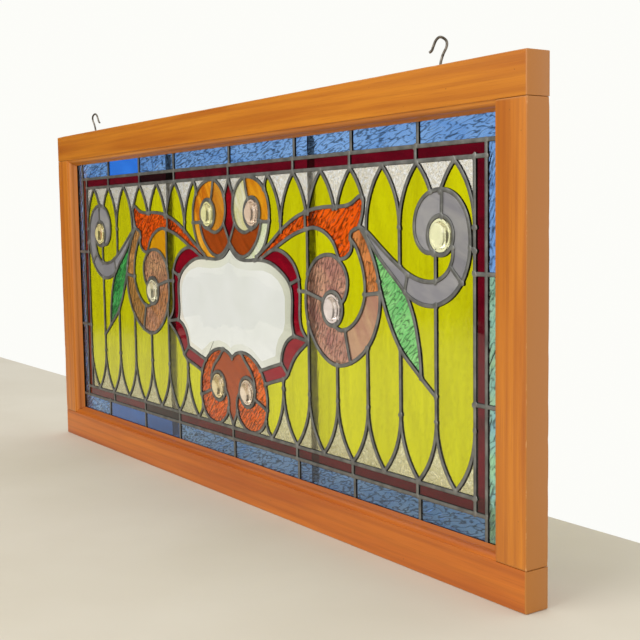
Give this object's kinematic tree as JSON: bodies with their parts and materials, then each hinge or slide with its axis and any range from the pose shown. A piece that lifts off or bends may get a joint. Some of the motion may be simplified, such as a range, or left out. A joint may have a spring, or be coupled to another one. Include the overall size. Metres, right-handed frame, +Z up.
{
  "type": "leaded stained glass window",
  "caption": "Wide framed leaded light: softwood sash, coloured lancet field, scrolls and a bevelled centre plate, hung on screw hooks.",
  "frame": {"origin": "midway between the two screw hooks, at the height where their crooks bear, in the middle of the sash thickness", "axes": "+X along the width, -Y is the face with the moulding, +Z up"},
  "size_m": [1.36, 0.035, 0.6572],
  "materials": {
    "blue_glass": "rippled translucent blue",
    "ruby_glass": "deep ruby, smooth",
    "clear_textured_glass": "clear granite texture",
    "amber_glass": "streaky amber",
    "opal_glass": "pale green streaky",
    "russet_glass": "russet, diagonal streaks",
    "orange_glass": "rippled orange",
    "rose_glass": "rippled tan and rose",
    "grey_opal_glass": "grey opal",
    "green_glass": "rippled green",
    "yellow_green_glass": "yellow-green cathedral, slightly wavy",
    "clear_bevelled_glass": "clear polished plate with a wide bevel",
    "jewel_glass": "clear pressed jewel",
    "varnished_pine": "orange varnish, worn at the corners",
    "lead": "dull grey lead with brighter solder",
    "steel_bar": "dull galvanised",
    "hook_metal": "darkened by age",
    "putty": "dry, matt"
  },
  "bodies": {
    "root": {"top_rail": "varnished_pine", "bottom_rail": "varnished_pine", "left_stile": "varnished_pine", "right_stile": "varnished_pine", "glazing_putty": "putty", "left_hook": "hook_metal", "right_hook": "hook_metal", "left_support_bar": "steel_bar", "right_support_bar": "steel_bar", "lead_came": "lead", "blue_border": "blue_glass", "ruby_border": "ruby_glass", "ruby_spindle": "ruby_glass", "ruby_band_right": "ruby_glass", "ruby_band_left": "ruby_glass", "clear_lancet_gaps_top": "clear_textured_glass", "clear_lancet_gaps_bottom": "clear_textured_glass", "russet_heart": "russet_glass", "russet_crescent_right": "russet_glass", "russet_crescent_left": "russet_glass", "bevelled_plate": "clear_bevelled_glass", "amber_comma_right": "amber_glass", "amber_comma_left": "amber_glass", "amber_segment_right": "amber_glass", "amber_segment_left": "amber_glass", "opal_sickle_right": "opal_glass", "opal_sickle_left": "opal_glass", "orange_medallion_right": "orange_glass", "orange_medallion_left": "orange_glass", "orange_leaf_right": "orange_glass", "orange_leaf_left": "orange_glass", "rose_scroll_right": "rose_glass", "rose_scroll_left": "rose_glass", "grey_scroll_right": "grey_opal_glass", "grey_scroll_left": "grey_opal_glass", "green_leaf_right": "green_glass", "green_leaf_left": "green_glass", "yellow_lancets_inner_right": "yellow_green_glass", "yellow_lancets_inner_left": "yellow_green_glass", "yellow_lancet_middle_right": "yellow_green_glass", "yellow_lancet_middle_left": "yellow_green_glass", "yellow_lancet_leaf_tip_right": "yellow_green_glass", "yellow_lancet_leaf_tip_left": "yellow_green_glass", "yellow_lancets_outer_right": "yellow_green_glass", "yellow_lancets_outer_left": "yellow_green_glass", "yellow_field_inner_right": "yellow_green_glass", "yellow_field_inner_left": "yellow_green_glass", "yellow_crescent_right": "yellow_green_glass", "yellow_crescent_left": "yellow_green_glass", "yellow_field_outer_right": "yellow_green_glass", "yellow_field_outer_left": "yellow_green_glass", "jewel_top_medallion_right": "jewel_glass", "jewel_top_medallion_left": "jewel_glass", "jewel_bottom_medallion_right": "jewel_glass", "jewel_bottom_medallion_left": "jewel_glass", "jewel_rose_scroll_right": "jewel_glass", "jewel_rose_scroll_left": "jewel_glass", "jewel_grey_scroll_right": "jewel_glass", "jewel_grey_scroll_left": "jewel_glass"}
  },
  "joints": []
}
